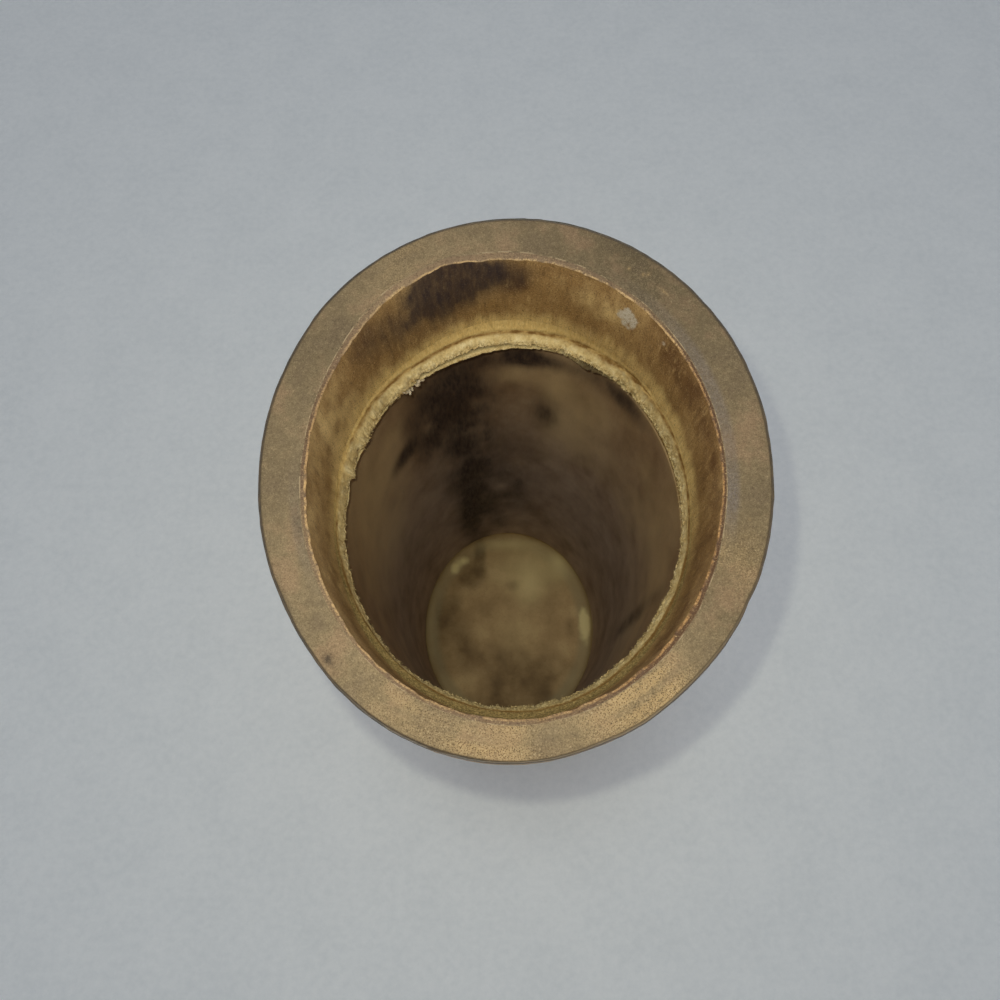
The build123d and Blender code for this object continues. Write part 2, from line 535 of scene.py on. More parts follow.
class Nodes:
    """A node tree under construction, with short ways to add its nodes."""

    def __init__(self, tree):
        self.tree = tree

    def feed(self, node, inputs):
        """Sets a node's inputs, or links them to a socket or, by its name, to a value stored on the mesh."""
        for key, value in inputs.items():
            if isinstance(value, str):
                value = self.add("Attribute", "Fac", {}, attribute_name=value)
            if isinstance(value, bpy.types.NodeSocket):
                self.tree.links.new(value, node.inputs[key])
            else:
                node.inputs[key].default_value = value

    def add(self, kind, output, inputs, **settings):
        """A new node's output."""
        node = self.tree.nodes.new("ShaderNode" + kind)
        for key, value in settings.items():
            setattr(node, key, value)
        self.feed(node, inputs)
        return node.outputs[output]

    def maths(self, operation, first, second):
        return self.add("Math", 0, {0: first, 1: second}, operation=operation)

    def band(self, value, low, high, start, end):
        """A value's range from low to high, made to run smoothly from start to end."""
        inputs = {"Value": value, "From Min": low, "From Max": high, "To Min": start, "To Max": end}
        return self.add("MapRange", "Result", inputs, interpolation_type="SMOOTHSTEP")


class Finish(Nodes):
    """A material under construction, whose colour is built up in layers."""

    def __init__(self, name, roughness, specular):
        self.material = bpy.data.materials.new(name)
        self.material.use_nodes = True
        super().__init__(self.material.node_tree)
        self.shader = self.tree.nodes["Principled BSDF"]
        self.feed(self.shader, {"Roughness": roughness, "Specular IOR Level": specular})
        self.place = self.add("TexCoord", "Object", {})
        self.colour = None

    def noise(self, across, along, detail=4.0, roughness=0.55):
        """Cloudy values from 0 to 1, with counts per metre across the culm and along it."""
        scales = {0: self.place, 1: (across, across, along)}
        place = self.add("VectorMath", "Vector", scales, operation="MULTIPLY")
        inputs = {"Vector": place, "Scale": 1.0, "Detail": detail, "Roughness": roughness}
        return self.add("TexNoise", "Fac", inputs)

    def dots(self, count, inner, outer):
        """Many scattered dots, counted per metre, seen from above."""
        inputs = {"Vector": self.place, "Scale": count}
        gap = self.add("TexVoronoi", "Distance", inputs, voronoi_dimensions="2D")
        return self.band(gap, inner, outer, 1.0, 0.0)

    def times(self, first, second):
        return self.maths("MULTIPLY", first, second)

    def plus(self, first, second, share):
        """A value, with a share of another one added."""
        return self.maths("ADD", first, self.times(second, share))

    def fade(self, value, low, high, most=1.0):
        """A value's range from low to high, made to run smoothly from 0 to the most."""
        return self.band(value, low, high, 0.0, most)

    def ramp(self, value, *stops):
        """Colours along a value: rows of a position, red, green and blue."""
        node = self.tree.nodes.new("ShaderNodeValToRGB")
        self.feed(node, {"Fac": value})
        elements = node.color_ramp.elements
        while len(elements) < len(stops):
            elements.new(0.5)
        for element, (position, *colour) in zip(elements, stops):
            element.position = position
            element.color = shade(*colour)
        return node.outputs["Color"]

    def mix(self, share, first, second):
        inputs = {"Factor": share, 6: first, 7: second}
        return self.add("Mix", 2, inputs, data_type="RGBA", blend_type="MIX")

    def cover(self, share, colour):
        """Lays a share of another colour over the colour so far."""
        self.colour = self.mix(share, self.colour, colour)

    def tint(self, colour, value, low, high, most=1.0, least=0.0, mask=None):
        """Lays a screen colour over the colour so far: its share follows a value's range, and a mask."""
        share = self.band(value, low, high, least, most)
        if mask is not None:
            share = self.times(mask, share)
        self.cover(share, shade(*colour))

    def finish(self, roughness, relief, depth):
        """The material, with its roughness and a relief of a depth in millimetres."""
        bump = self.add("Bump", "Normal", {"Strength": 1.0, "Distance": depth / MM, "Height": relief})
        self.feed(self.shader, {"Base Color": self.colour, "Roughness": roughness, "Normal": bump})
        return self.material


def patina(made, cloud, blush):
    """Begins with the grey-brown of old cut bamboo, with pinkish and darker brown places."""
    tone = made.maths("ADD", "light", made.maths("SUBTRACT", cloud, 0.5))
    stops = ((0.0, 94, 81, 58), (0.35, 120, 103, 77), (0.65, 144, 124, 94), (1.0, 166, 144, 110))
    made.colour = made.ramp(tone, *stops)
    made.tint((148, 116, 92), blush, 0.48, 0.66, 0.45)
    made.tint((116, 96, 76), blush, 0.52, 0.34, 0.34)


def end_grain():
    """Sawn end of the wall: grey-brown patina, worn pale in places, with fibre dots."""
    made = Finish("bamboo_end_grain", 0.7, 0.25)
    cloud = made.noise(90, 90, 5)
    patch = made.noise(620, 620, 4, 0.65)
    speckle = made.noise(3200, 3200, 3, 0.8)
    grit = made.noise(1500, 1500, 3, 0.7)
    patina(made, cloud, made.noise(90, 90, 5, 0.62))
    made.tint((92, 77, 54), patch, 0.5, 0.3, 0.2)
    made.tint((170, 146, 112), patch, 0.5, 0.7, 0.16)
    made.tint((112, 101, 94), grit, 0.35, 0.6, 1.0, 0.6, "grey")
    bare = made.mix(made.fade(cloud, 0.35, 0.65), shade(160, 132, 92), shade(182, 152, 108))
    made.cover(made.times("wear", made.band(grit, 0.3, 0.55, 0.5, 0.95)), bare)
    made.tint((82, 66, 46), grit, 0.5, 0.3, 0.36)
    made.tint((180, 158, 122), grit, 0.5, 0.72, 0.22)
    crisp = made.band("wear", 0.0, 0.4, 0.55, 1.0)
    made.tint((198, 176, 140), speckle, 0.52, 0.75, 0.75, 0.0, crisp)
    made.tint((58, 45, 30), speckle, 0.48, 0.26, 1.0, 0.0, crisp)
    dots = made.mix(made.fade("depth", 0.35, 0.7), made.dots(1900, 0.08, 0.26), made.dots(1500, 0.07, 0.22))
    made.tint((82, 58, 34), "wear", 0.05, 0.6, 1.0, 0.45, dots)
    made.tint((70, 58, 42), "depth", 0.05, 0.0, 0.6)
    made.tint((58, 48, 40), speckle, 0.3, 0.6, 0.65, 1.0, "mark")
    relief = made.maths("SUBTRACT", speckle, made.times(dots, 0.5))
    return made.finish(made.band(cloud, 0.3, 0.7, 0.62, 0.8), relief, 0.07)


def bamboo_skin():
    """Hard outer skin: golden brown, faintly streaked and freckled, pale bloom under the nodes, painted
    shade and highlight at the rim.
    """
    made = Finish("bamboo_skin", 0.42, 0.4)
    streak = made.noise(430, 6, 5, 0.6)
    fibre = made.noise(2600, 30, 3, 0.6)
    cloud = made.noise(24, 9, 4, 0.6)
    made.colour = made.ramp(cloud, (0.3, 142, 104, 58), (0.5, 170, 132, 78), (0.7, 190, 154, 96))
    made.tint((116, 82, 48), made.noise(70, 4, 4, 0.6), 0.5, 0.72, 0.5)
    made.tint((140, 122, 92), made.noise(30, 22, 5, 0.65), 0.52, 0.7, 0.4)
    made.tint((118, 82, 44), streak, 0.5, 0.75, 0.45)
    made.tint((206, 172, 112), streak, 0.45, 0.25, 0.35)
    made.tint((104, 74, 42), fibre, 0.5, 0.75, 0.22)
    made.tint((86, 60, 36), made.noise(620, 330, 3, 0.7), 0.63, 0.76, 0.6)
    made.tint((196, 178, 138), cloud, 0.3, 0.6, 0.8, 0.4, "bloom")
    # Darker below the nodes, and painted shade just below the rim
    made.tint((44, 37, 30), streak, 0.3, 0.7, 1.0, 0.88, "dark")
    # Painted highlight along the skin's top edge
    made.tint((190, 162, 122), streak, 0.3, 0.6, 1.0, 0.5, "edge")
    return made.finish(made.band(cloud, 0.3, 0.7, 0.36, 0.56), made.plus(fibre, streak, 0.8), 0.07)


def sheath_scar():
    """Dry ring where a sheath fell off."""
    made = Finish("sheath_scar", 0.8, 0.2)
    grain = made.noise(900, 250, 4, 0.65)
    made.colour = made.ramp(grain, (0.3, 58, 42, 28), (0.55, 92, 70, 44), (0.75, 132, 106, 70))
    made.tint((60, 45, 32), made.noise(60, 60), 0.45, 0.7, 0.5)
    return made.finish(made.band(grain, 0.3, 0.7, 0.9, 0.7), grain, 0.25)


def golden_root(made, fibre):
    """Golden colours where a lining turns into the root of a diaphragm."""
    return made.ramp(fibre, (0.3, 246, 216, 150), (0.7, 222, 184, 112))


def lip_colour(made, cloud, speckle):
    """Top of the lining: like the sawn wood, with a broken pale line outside and a worn lip inside."""
    patch = made.noise(330, 330, 4, 0.7)
    patina(made, cloud, patch)
    made.tint((140, 110, 86), "across", 0.0, 0.3, 0.45)
    made.tint((84, 56, 34), "tone", 0.0, -0.8, 0.95, 0.0, made.fade("across", 0.02, 0.28))
    edge = made.plus("across", made.maths("SUBTRACT", speckle, 0.5), 0.35)
    made.tint((186, 164, 130), patch, 0.46, 0.6, 0.75, 0.0, made.fade(edge, 0.18, 0.04))
    worn = made.mix(made.fade("tone", 0.0, -1.0), shade(202, 166, 116), shade(176, 132, 82))
    made.cover(made.times("lip", made.band(speckle, 0.35, 0.55, 0.4, 1.0)), worn)
    return made.colour


def pith_lining():
    """Lining of the bore: brown with streaks and stains, a worn lip and golden bands at the nodes."""
    made = Finish("pith_lining", 0.6, 0.3)
    streak = made.noise(420, 18, 4, 0.6)
    fibre = made.noise(2600, 150, 3, 0.7)
    grain = made.noise(760, 190, 4, 0.7)
    cloud = made.noise(95, 60, 5, 0.6)
    speckle = made.noise(2600, 2300, 3, 0.8)
    lip = lip_colour(made, cloud, speckle)
    near = made.ramp(cloud, (0.3, 136, 102, 60), (0.5, 159, 123, 74), (0.72, 178, 143, 91))
    far = made.ramp(cloud, (0.3, 150, 129, 116), (0.52, 184, 163, 150), (0.72, 204, 185, 170))
    made.colour = made.mix("deep", near, far)
    shallow = made.band("deep", 0.0, 0.36, 1.0, 0.18)
    made.tint((104, 76, 44), streak, 0.45, 0.72, 0.26, 0.0, shallow)
    made.cover(made.fade("tone", 0.0, 1.0), made.mix("deep", shade(224, 190, 128), shade(214, 195, 172)))
    made.tint((96, 62, 32), "tone", 0.0, -1.0)
    made.tint((86, 57, 34), grain, 0.52, 0.74, 0.48, 0.0, shallow)
    made.tint((200, 164, 108), grain, 0.47, 0.27, 0.5, 0.0, shallow)
    made.cover(made.times("pale", made.band(streak, 0.42, 0.66, 1.0, 0.66)), golden_root(made, fibre))
    made.tint((51, 39, 38), grain, 0.3, 0.7, 1.0, 0.82, "stain")
    made.cover("top", lip)
    made.tint((66, 45, 26), speckle, 0.49, 0.28, 0.95, 0.0, shallow)
    clean = made.times(made.band("stain", 0.2, 0.9, 1.0, 0.25), shallow)
    made.tint((214, 186, 138), speckle, 0.53, 0.76, 0.65, 0.0, clean)
    made.tint((204, 192, 170), speckle, 0.35, 0.6, 1.0, 0.4, "scuff")
    return made.finish(made.band(cloud, 0.3, 0.7, 0.52, 0.72), made.plus(fibre, speckle, 0.8), 0.08)


def torn_fibre():
    """Torn fibres of a diaphragm: golden root, straw pale outside, dust and painted shade on the near side.
    """
    made = Finish("torn_diaphragm", 0.85, 0.15)
    crumb = made.noise(1700, 1700, 5, 0.85)
    clump = made.noise(420, 420, 4, 0.6)
    grain = made.noise(760, 190, 4, 0.7)
    made.colour = golden_root(made, made.noise(2600, 150, 3, 0.7))
    made.tint((150, 110, 58), grain, 0.5, 0.75, 0.45)
    made.tint((112, 80, 42), crumb, 0.47, 0.28, 0.6)
    gold = made.colour
    made.colour = made.ramp(clump, (0.3, 200, 170, 114), (0.5, 224, 198, 142), (0.72, 240, 220, 172))
    loose = made.band("tip", 0.0, 1.0, 0.5, 1.0)
    made.tint((96, 68, 34), crumb, 0.49, 0.3, 0.85, 0.0, loose)
    made.tint((250, 238, 200), crumb, 0.53, 0.72, 0.9, 0.0, loose)
    made.cover("root", gold)
    made.tint((104, 76, 40), crumb, 0.4, 0.56, 0.0, 0.6, "tip")
    # Greenish grey of dust and painted shade, strongest on the near side
    dusty_shade = made.mix("root", shade(128, 112, 76), shade(114, 98, 60))
    made.cover(made.times("dust_and_shade", made.band(crumb, 0.4, 0.7, 0.97, 0.35)), dusty_shade)
    # Painted shade, brown, in the crease between root and stub and in cracks
    made.tint((116, 84, 43), grain, 0.3, 0.6, 1.0, 0.75, "groove")
    # Painted shade in cracks, under the torn edge and among fibres
    made.cover("crevice_shade", shade(56, 39, 22))
    return made.finish(made.band(crumb, 0.3, 0.7, 0.95, 0.8), made.plus(crumb, clump, 1.5), 0.18)


def floor_pith():
    """Faces of the floor: stained olive brown, a greyer ring at the root, painted pools of light and
    highlights.
    """
    made = Finish("floor_diaphragm", 0.75, 0.2)
    cloud = made.noise(60, 60, 5, 0.55)
    grain = made.noise(900, 900, 3, 0.65)
    made.colour = made.ramp(cloud, (0.32, 160, 131, 88), (0.5, 180, 150, 105), (0.68, 198, 169, 122))
    made.tint((120, 98, 60), grain, 0.5, 0.75, 0.25)
    made.tint((98, 76, 46), cloud, 0.65, 0.35, 1.0, 0.65, "blotch")
    made.tint((152, 140, 106), cloud, 0.3, 0.6, 0.6, 0.35, "rim")
    # Painted light: pools of light and highlights on the floor
    made.cover("light", shade(238, 220, 158))
    return made.finish(made.band(cloud, 0.3, 0.7, 0.65, 0.85), grain, 0.12)


# Pieces of the vase

def rim_drop(angle, across):
    """Depth of the sawn rim below its highest level: across runs from skin to lining."""
    slow = 0.5 + 0.5 * ripples(angle, across, 22, 2, 41)
    fine = ripples(angle, across, 420, 12, 42)
    return rim_wave * slow + 0.025 * fine


def rim_light(angle):
    """How light the patina of the rim is, round the culm."""
    return 0.47 + bumps(angle, rim_tones)


def make_wall(material):
    """The woody tube: its sawn rim and foot show."""
    angle = turn(WALL_STEPS)
    across = steps(0, 1, RIM_ROWS)
    rim_face = between(outside(angle, rim_z, bevel(angle, rim_z) + skin_depth), seat(angle, rim_z), across)
    rim_face[..., 2] -= rim_drop(angle, across)
    inner = seat(angle, steps(rim_z - 2, foot_z + 0.6, 9))
    foot_across = steps(0, 1, 14)
    foot_face = between(seat(angle, foot_z), outside(angle, foot_z, skin_depth), foot_across)
    heights = steps(foot_skin_low, rim_z - 2, 9)
    outer = outside(angle, heights, bevel(angle, heights) + skin_depth)
    wear = bumps(angle, rim_wear) * (0.8 + 0.6 * ripples(angle, across, 40, 4, 51))
    wear = wear + spots(angle, across, rim_scratches)
    grey = bumps(angle, rim_grey) * ease((across - 0.66) / 0.16)
    rest = np.zeros((len(inner) + len(foot_face) + len(outer), 1))
    values = {
        "depth": stack(across, np.ones((len(inner), 1)), 1 - foot_across, np.zeros((len(outer), 1))),
        "wear": stack(limit(wear), rest),
        "light": stack(rim_light(angle) + 0 * across, rest + 0.45),
        "grey": stack(limit(grey), rest),
        "mark": stack(limit(spots(angle, across, rim_marks)), rest),
    }
    add_ring("wall_wood", [rim_face, inner, foot_face, outer], values, material, ["culm_wall"])


def make_skin(name, levels, material, node):
    """One stretch of skin, with rows of points at levels from its lower to its upper end."""
    angle = turn(SKIN_STEPS)
    low = levels[0]
    high = levels[-1]
    heights = column(levels)
    outer = outside(angle, heights, bevel(angle, heights))
    flutes = 0.05 * ripples(angle, heights / rim_z, 180, 6, 61)
    outer[..., :2] *= 1 + (flutes / rim_radii[0])[..., None]
    backs = column([high, high - 1, (low + high) / 2, low])
    inner = outside(angle, backs, bevel(angle, backs) + skin_depth)
    at_rim = high > rim_z - 0.1
    if at_rim:
        sunk = rim_drop(angle, np.zeros((1, 1)))[0]
        inner[0, :, 2] -= sunk
        outer[-1, :, 2] -= sunk
    rows = join([backs, heights])
    nodes = (floor_middle, ring_middle)
    bloom = sum(bell((rows - level + 12) / 6.0) for level in nodes)
    dark = sum(bell((rows - level + 1.5) / 2.4) for level in nodes)
    uneven = 0.6 + 0.5 * ripples(angle, rows / rim_z, 60, 20, 62)
    # Painted shade: the skin just below the rim is darkened to give the rim a dark outline
    worn = bell((rows - rim_z) / 1.9) if at_rim else 0 * rows
    # Painted highlight along the skin's top edge, strongest on the near right
    edge = np.where(rows > rim_z - 0.06, 1.0, 0.0) * (0.03 + 0.22 * hump(angle, 304, 26))
    values = {
        "bloom": limit(bloom * uneven),
        "dark": limit(dark * 0.7 * uneven + 1.1 * worn),
        "edge": limit(edge),
    }
    add_ring(name, [inner, outer], values, material, [node])


def make_scar(name, low, high, material, node):
    """The ridge of a fallen sheath's scar, with a ragged edge."""
    angle = turn(SKIN_STEPS)
    share = steps(0, 1, 13)
    reach = np.sin(pi * share) ** 0.7
    torn = 1 + 0.3 * rough(angle, share, 150, 3, 71)
    outer = outside(angle, low + (high - low) * share, -reach * torn)
    inner = outside(angle, column([high, (low + high) / 2, low]), skin_depth)
    add_ring(name, [inner, outer], {}, material, [node])


def mouth_values(angle, across, drop, hidden):
    """Stored values of the mouth's lining: across its top, drop down its side, hidden behind."""
    top = 0 * across
    side = 0 * drop
    down = join([top, drop, hidden])
    share = down / drop[-1]
    stripes = 0.18 * ripples(angle, share, 190, 3, 91) + 0.22 * rough(angle, share, 60, 6, 97)
    stain = spots(angle, down, mouth_stains) * (1 + 0.8 * stripes)
    tone = limit_both(spots(angle, down, mouth_tones) + 0.22 * rough(angle, share, 100, 5, 96))
    start = 20.2 + bumps(angle, pale_starts) + 1.5 * rough(angle, 0.5, 110, 1, 92)
    # The golden band fades on the near side, under painted shade and dust, and near 56 degrees
    pale = ease((down - start) / 6.0) * (1 - 0.7 * dust_and_shade_share(angle)) * (1 - 0.5 * hump(angle, 56, 24))
    scuff = spots(angle, down, mouth_scuffs) * (1 + 0.5 * rough(angle, share, 220, 18, 94))
    lip_tone = -limit(bumps(angle, lip_tones))
    broken = limit(0.78 + rough(angle, 0.5, 160, 1, 98))
    begin = 0.56 + 0.22 * hump(angle, 104, 40)
    fringe = ease((across - begin) / 0.16) * (0.8 + bumps(angle, lip_glows)) * broken
    return {
        "stain": ease(stain - 0.06),
        "tone": join([lip_tone + top, tone[len(across):]]),
        "pale": pale,
        "top": join([top + 1, bell(drop / 0.3), 0 * hidden]),
        "light": rim_light(angle),
        "across": join([across, side + 1, 0 * hidden]),
        "lip": join([fringe, side + fringe[-1:], 0 * hidden * angle]),
        "scuff": ease((scuff - 0.45) / 0.5),
    }


def make_rim_lining(material):
    """Lining of the mouth, from the wavy lip down to the broken ring."""
    angle = turn(LINING_STEPS)
    across = steps(0, 1, LIP_ROWS)
    chips = 0.2 + 0.14 * rough(angle, 0.3, 150, 2, 81) + 0.1 * wavy(angle, 36, 84)
    notches = limit_both(2.2 * wavy(angle, 130, 85))
    waves = lip_wave * (0.7 * notches + 0.6 * wavy(angle, 30, 86) + 0.3 * wavy(angle, 330, 89))
    top = between(seat(angle, rim_z), bore(angle, rim_z, waves), across)
    degrees = np.degrees(angle)
    sunk = 0.1 + 0.35 * (ease((degrees - 284) / 12) * (1 - ease((degrees - 348) / 8)))
    step = rim_drop(angle, np.ones((1, 1))) + sunk * ease(across / 0.15)
    crumbs = 0.07 * rough(angle, across, 420, 4, 88, 2) * ease(across / 0.3)
    top[..., 2] -= step - crumbs + chips * across ** 3
    length = rim_z - ring_high
    drop = column([0.15, 0.35, 0.6, 0.9, 1.3, *np.linspace(1.8, length - 0.03, 58), length])
    heights = rim_z - drop
    sides = bore(angle, heights, waves * np.exp(-drop / 1.2) + flare(drop))
    edge = rim_z - step[-1:] - chips
    sides[..., 2] = np.where(drop < 1.5, np.minimum(heights, edge - 0.12 * drop), heights)
    groove = 0.04 * ripples(angle, drop / length, 320, 5, 87)
    sides[..., :2] *= 1 + (groove / bore_radii[0])[..., None]
    back = seat(angle, column([ring_high, (ring_high + rim_z) / 2, rim_z - 1]))
    values = mouth_values(angle, across, drop, column([length, length / 2, 1]))
    add_ring("mouth_lining", [top, sides, back], values, material, ["rim_lining"])


def make_chamber_lining(material):
    """Lining of the long hollow, with its water stains."""
    angle = turn(CHAMBER_STEPS)
    heights = steps(ring_low, floor_high, CHAMBER_ROWS)
    hidden = column([floor_high, (floor_high + ring_low) / 2, ring_low])
    levels = join([heights, hidden])
    down = rim_z - levels
    share = down / rim_z
    middle = band_start + band_drift * ease((down - 60) / 140)
    band = hump(angle, middle, band_spread) * ease((down - 40) / 20)
    stain = spots(angle, down, chamber_stains) + 0.5 * band
    stain = stain * (1 + 0.32 * rough(angle, share, 34, 18, 101)) + 0.08 * rough(angle, share, 30, 14, 105)
    tone = spots(angle, down, chamber_tones) + 0.2 * rough(angle, share, 30, 18, 104)
    values = {
        "stain": ease((stain - 0.05) / 1.05),
        "tone": limit_both(tone),
        "pale": 0.25 * bell((levels - ring_low) / 2.5),
        "deep": 0.36 + 0.64 * ease((down - 45) / 120),
    }
    rows = [bore(angle, heights), seat(angle, hidden)]
    add_ring("chamber_wall_lining", rows, values, material, ["chamber_lining"])


def make_foot_lining(material):
    """Lining of the recess under the floor."""
    angle = turn(SKIN_STEPS)
    heights = steps(floor_low, foot_lining_low, 12)
    hidden = column([foot_lining_low, floor_low])
    levels = join([heights, hidden])
    values = {
        "stain": limit(0.3 * rough(angle, levels / floor_low, 40, 3, 111)),
        "tone": 0.3 * rough(angle, levels / floor_low, 30, 3, 114),
        "pale": 0.8 * ease((levels - floor_low + 4) / 4),
    }
    rows = [bore(angle, heights), seat(angle, hidden)]
    add_ring("foot_recess_lining", rows, values, material, ["foot_lining"])


def dust_and_shade_share(angle):
    """Dust and painted shade on the broken ring: none at the back, most on the near side."""
    return ease((0.15 - np.sin(angle)) / 0.55)


def stub_width(angle):
    """Mean width of what is left of the broken diaphragm."""
    ends = np.where(np.sin(angle) > 0, stub_back, stub_front)
    return stub_side * np.cos(angle) ** 2 + ends * np.sin(angle) ** 2 + bumps(angle, stub_bumps)


def tear(angle, seed):
    """Ragged edge of a torn layer: chunks, flakes, teeth of fibres, and crumbs."""
    toothed = 0.55 + bumps(angle, tooth_bumps)
    chunks = 0.22 * wavy(angle, 26, seed) + 0.22 * wavy(angle, 110, seed + 1)
    flakes = 0.4 * limit_both(6 * wavy(angle, 64, seed + 5)) * hump(angle, 166, 16)
    uneven = 1.1 * wavy(angle, 300, seed + 2) + 0.9 * wavy(angle, 170, seed + 6)
    teeth = 0.75 * toothed * limit(uneven)
    crumbs = 0.12 * wavy(angle, 640, seed + 3)
    return chunks + flakes - teeth + crumbs


def layer_rows(angle, insets, heights, loose, seed):
    """Rows of a torn layer's surface down its profile, crumbling where it is loose."""
    count = len(insets)
    fine = join([[0.0, 0.02], np.linspace(0, count - 1, RING_PARTS * (count - 1) + 1)[1:]])
    low = np.clip(np.floor(fine).astype(int), 0, count - 2)
    part = column(fine - low)
    inset = insets[low] * (1 - part) + insets[low + 1] * part
    height = heights[low] * (1 - part) + heights[low + 1] * part
    crumble = column(np.interp(fine, np.arange(count), loose))
    creases = 0.14 * wavy(angle, 300, seed)
    pits = 0.22 * rough(angle, column(fine / count), 430, 12, seed + 4, 2)
    points = bore(angle, ring_middle + height, inset + 0.6 * crumble * pits)
    points[..., 2] += crumble * (creases + pits)
    return points, column(fine)


def ring_root(angle):
    """Inset and level of the crest of the broken ring's root."""
    uneven = 0.16 * wavy(angle, 26, 134) + 0.09 * wavy(angle, 74, 135)
    crest = flare_depth + root_width + bumps(angle, root_bumps) + uneven * np.sin(angle) ** 2
    return crest, root_level + root_rise * np.cos(angle) ** 2 + bumps(angle, crest_bumps)


def upper_reach(angle):
    """How far the upper torn layer stands into the hollow."""
    return np.maximum(stub_width(angle) + tear(angle, 121), ring_root(angle)[0] + 0.35)


def groove_shade(angle, fine):
    """Painted brown shade in the crease between root and stub, in cracks and at a seam: fine counts corners
    of the section.
    """
    crease = 5.2 - 0.8 * hump(angle, 38, 34) + 0.7 * wavy(angle, 60, 136)
    groove = bell((fine - crease) / (1.7 + bumps(angle, crease_bumps)))
    down = fine / upper_count
    groove = groove * (0.92 - 0.3 * hump(angle, 168, 26) + 0.35 * rough(angle, down, 130, 8, 133))
    split = bell(ripples(angle, down, 190, 2, 137) / 0.1) * ease((fine - 7) / 2)
    split = split * (0.15 + 0.4 * hump(angle, 152, 24))
    seam = 0.45 * hump(angle, 56, 24) * (1 - ease(fine / 5))
    return limit(np.maximum(np.maximum(groove, split), seam))


def make_upper_ring(material):
    """Upper layer of the broken diaphragm: a rounded root, a groove and a ragged stub."""
    angle = turn(RING_STEPS)
    crest, level = ring_root(angle)
    reach = upper_reach(angle)
    rise = ring_high - ring_middle - level
    insets = [flare_depth + share * (crest - flare_depth) for share, _ in root_profile]
    heights = [level + share * rise for _, share in root_profile]
    for share, dip in stub_profile:
        insets.append(crest + share * (reach - crest))
        heights.append(level - dip - share ** 1.7 * (level - stub_edge))
    for back_off, height in edge_profile:
        insets.append(reach - back_off)
        heights.append(height + 0 * reach)
    surface, fine = layer_rows(angle, join(insets), join(heights), upper_loose, 131)
    under = bore(angle, np.full((2, 1), ring_middle + 0.1), column([0.6, 0.3]) * reach)
    back = seat(angle, column([ring_middle, ring_high]))
    hidden = np.ones((4, RING_STEPS))
    # Dust and painted shade: over the whole root, and on the stub only on the near side
    dusty_shade = dust_and_shade_share(angle) * np.where(fine < 6.5, 1.0, hump(angle, 268, 58))
    values = {
        "tip": stack(ease((fine - 9) / 3), hidden),
        # Painted shade under the torn edge
        "crevice_shade": stack(ease((fine - 12.6) / 0.8), hidden),
        "groove": stack(groove_shade(angle, fine), 0 * hidden),
        "root": stack(1 - ease((fine - 5) / 2.5), 0 * hidden),
        "dust_and_shade": stack(dusty_shade, hidden),
    }
    rows = [surface, under, back]
    add_ring("torn_ring_upper", rows, values, material, ["broken_ring_upper_layer"])


def make_lower_ring(material):
    """Lower layer of the broken diaphragm: it shows under a crack at the back, and as a flake."""
    angle = turn(RING_STEPS)
    ledge = bumps(angle, ledge_bumps) - 0.45
    reach = np.maximum(stub_width(angle) + ledge + 0.6 * tear(angle, 141), 0.5)
    profile = (*lower_profile, (0.0, 0.0, ring_low - ring_middle, 0.0))
    share, back_off, height, loose = np.array(profile).T
    insets = column(share) * reach - column(back_off)
    surface, fine = layer_rows(angle, insets, column(height) + 0 * reach, loose, 151)
    lead = bore(angle, np.full((1, 1), ring_middle - 0.3), 0.25 * reach)
    back = seat(angle, column([ring_low, ring_middle]))
    flake = hump(angle, 58, 12)
    # Painted shade in the crack between the two layers, and over the flake
    crack = limit(1 - fine / 1.4) * (1 - 0.85 * flake)
    # Dust and painted shade on the near side and on the flake
    dusty_shade = limit(hump(angle, 268, 60) + 0.5 * flake) + 0 * fine
    hidden = np.ones((1, RING_STEPS))
    values = {
        "tip": stack(hidden, ease((fine - 1) / 1.5), hidden, hidden),
        "crevice_shade": stack(hidden, np.maximum(crack, 0.88 * flake), hidden, hidden),
        "root": stack(0 * hidden, ease((fine - 5) / 3), hidden, hidden),
        "dust_and_shade": stack(hidden, dusty_shade, hidden, hidden),
    }
    rows = [lead, surface, back]
    add_ring("torn_ring_lower", rows, values, material, ["broken_ring_lower_layer"])


def add_spindles(name, bases, ways, lengths, widths, taper, seed, values, material, flat=1.0):
    """Many small closed spindles as one piece: crumbs or fibres."""
    sides = 6
    shares = np.array([0.05, 0.25, 0.5, 0.75, 0.95])
    count = len(bases)
    ways = ways / np.linalg.norm(ways, axis=1, keepdims=True)
    side = np.cross(ways, (0.3, 0.5, 0.8))
    side = side / np.linalg.norm(side, axis=1, keepdims=True)
    other = np.cross(ways, side)
    around = turn(sides)[0][None, :, None]
    ring = np.cos(around) * side[:, None, :] + flat * np.sin(around) * other[:, None, :]
    swell = np.sin(pi * shares) ** 0.5 * (1 - taper * shares)
    uneven = np.random.default_rng(seed).uniform(0.6, 1.25, (count, len(shares), sides))
    radius = widths[:, None, None] / 2 * swell[None, :, None] * uneven
    middle = bases[:, None, :] + ways[:, None, :] * (lengths[:, None] * shares)[..., None]
    points = middle[:, :, None, :] + radius[..., None] * ring[:, None, :, :]
    poles = np.stack([bases, bases + ways * lengths[:, None]], axis=1)
    each = join([points.reshape(count, -1, 3), poles], axis=1)
    size = each.shape[1]
    offsets = np.arange(count)[:, None, None] * size
    faces = [(part[None] + offsets).reshape(-1, part.shape[1]) for part in closed_faces(len(shares), sides)]
    mesh = build_mesh(name, each.reshape(-1, 3), faces)
    add_values(mesh, {key: np.repeat(value, size) for key, value in values.items()}, (count * size,), 0)
    add_piece(mesh, material, [])


def torn_angles(draw, count, rows, least):
    """Random angles round the ring, more of them where rows of bumps say."""
    tries = draw.uniform(0, 2 * pi, count * 6)
    weight = least + bumps(tries, rows)
    kept = tries[draw.uniform(0, 1.2, len(tries)) < weight]
    return kept[:count]


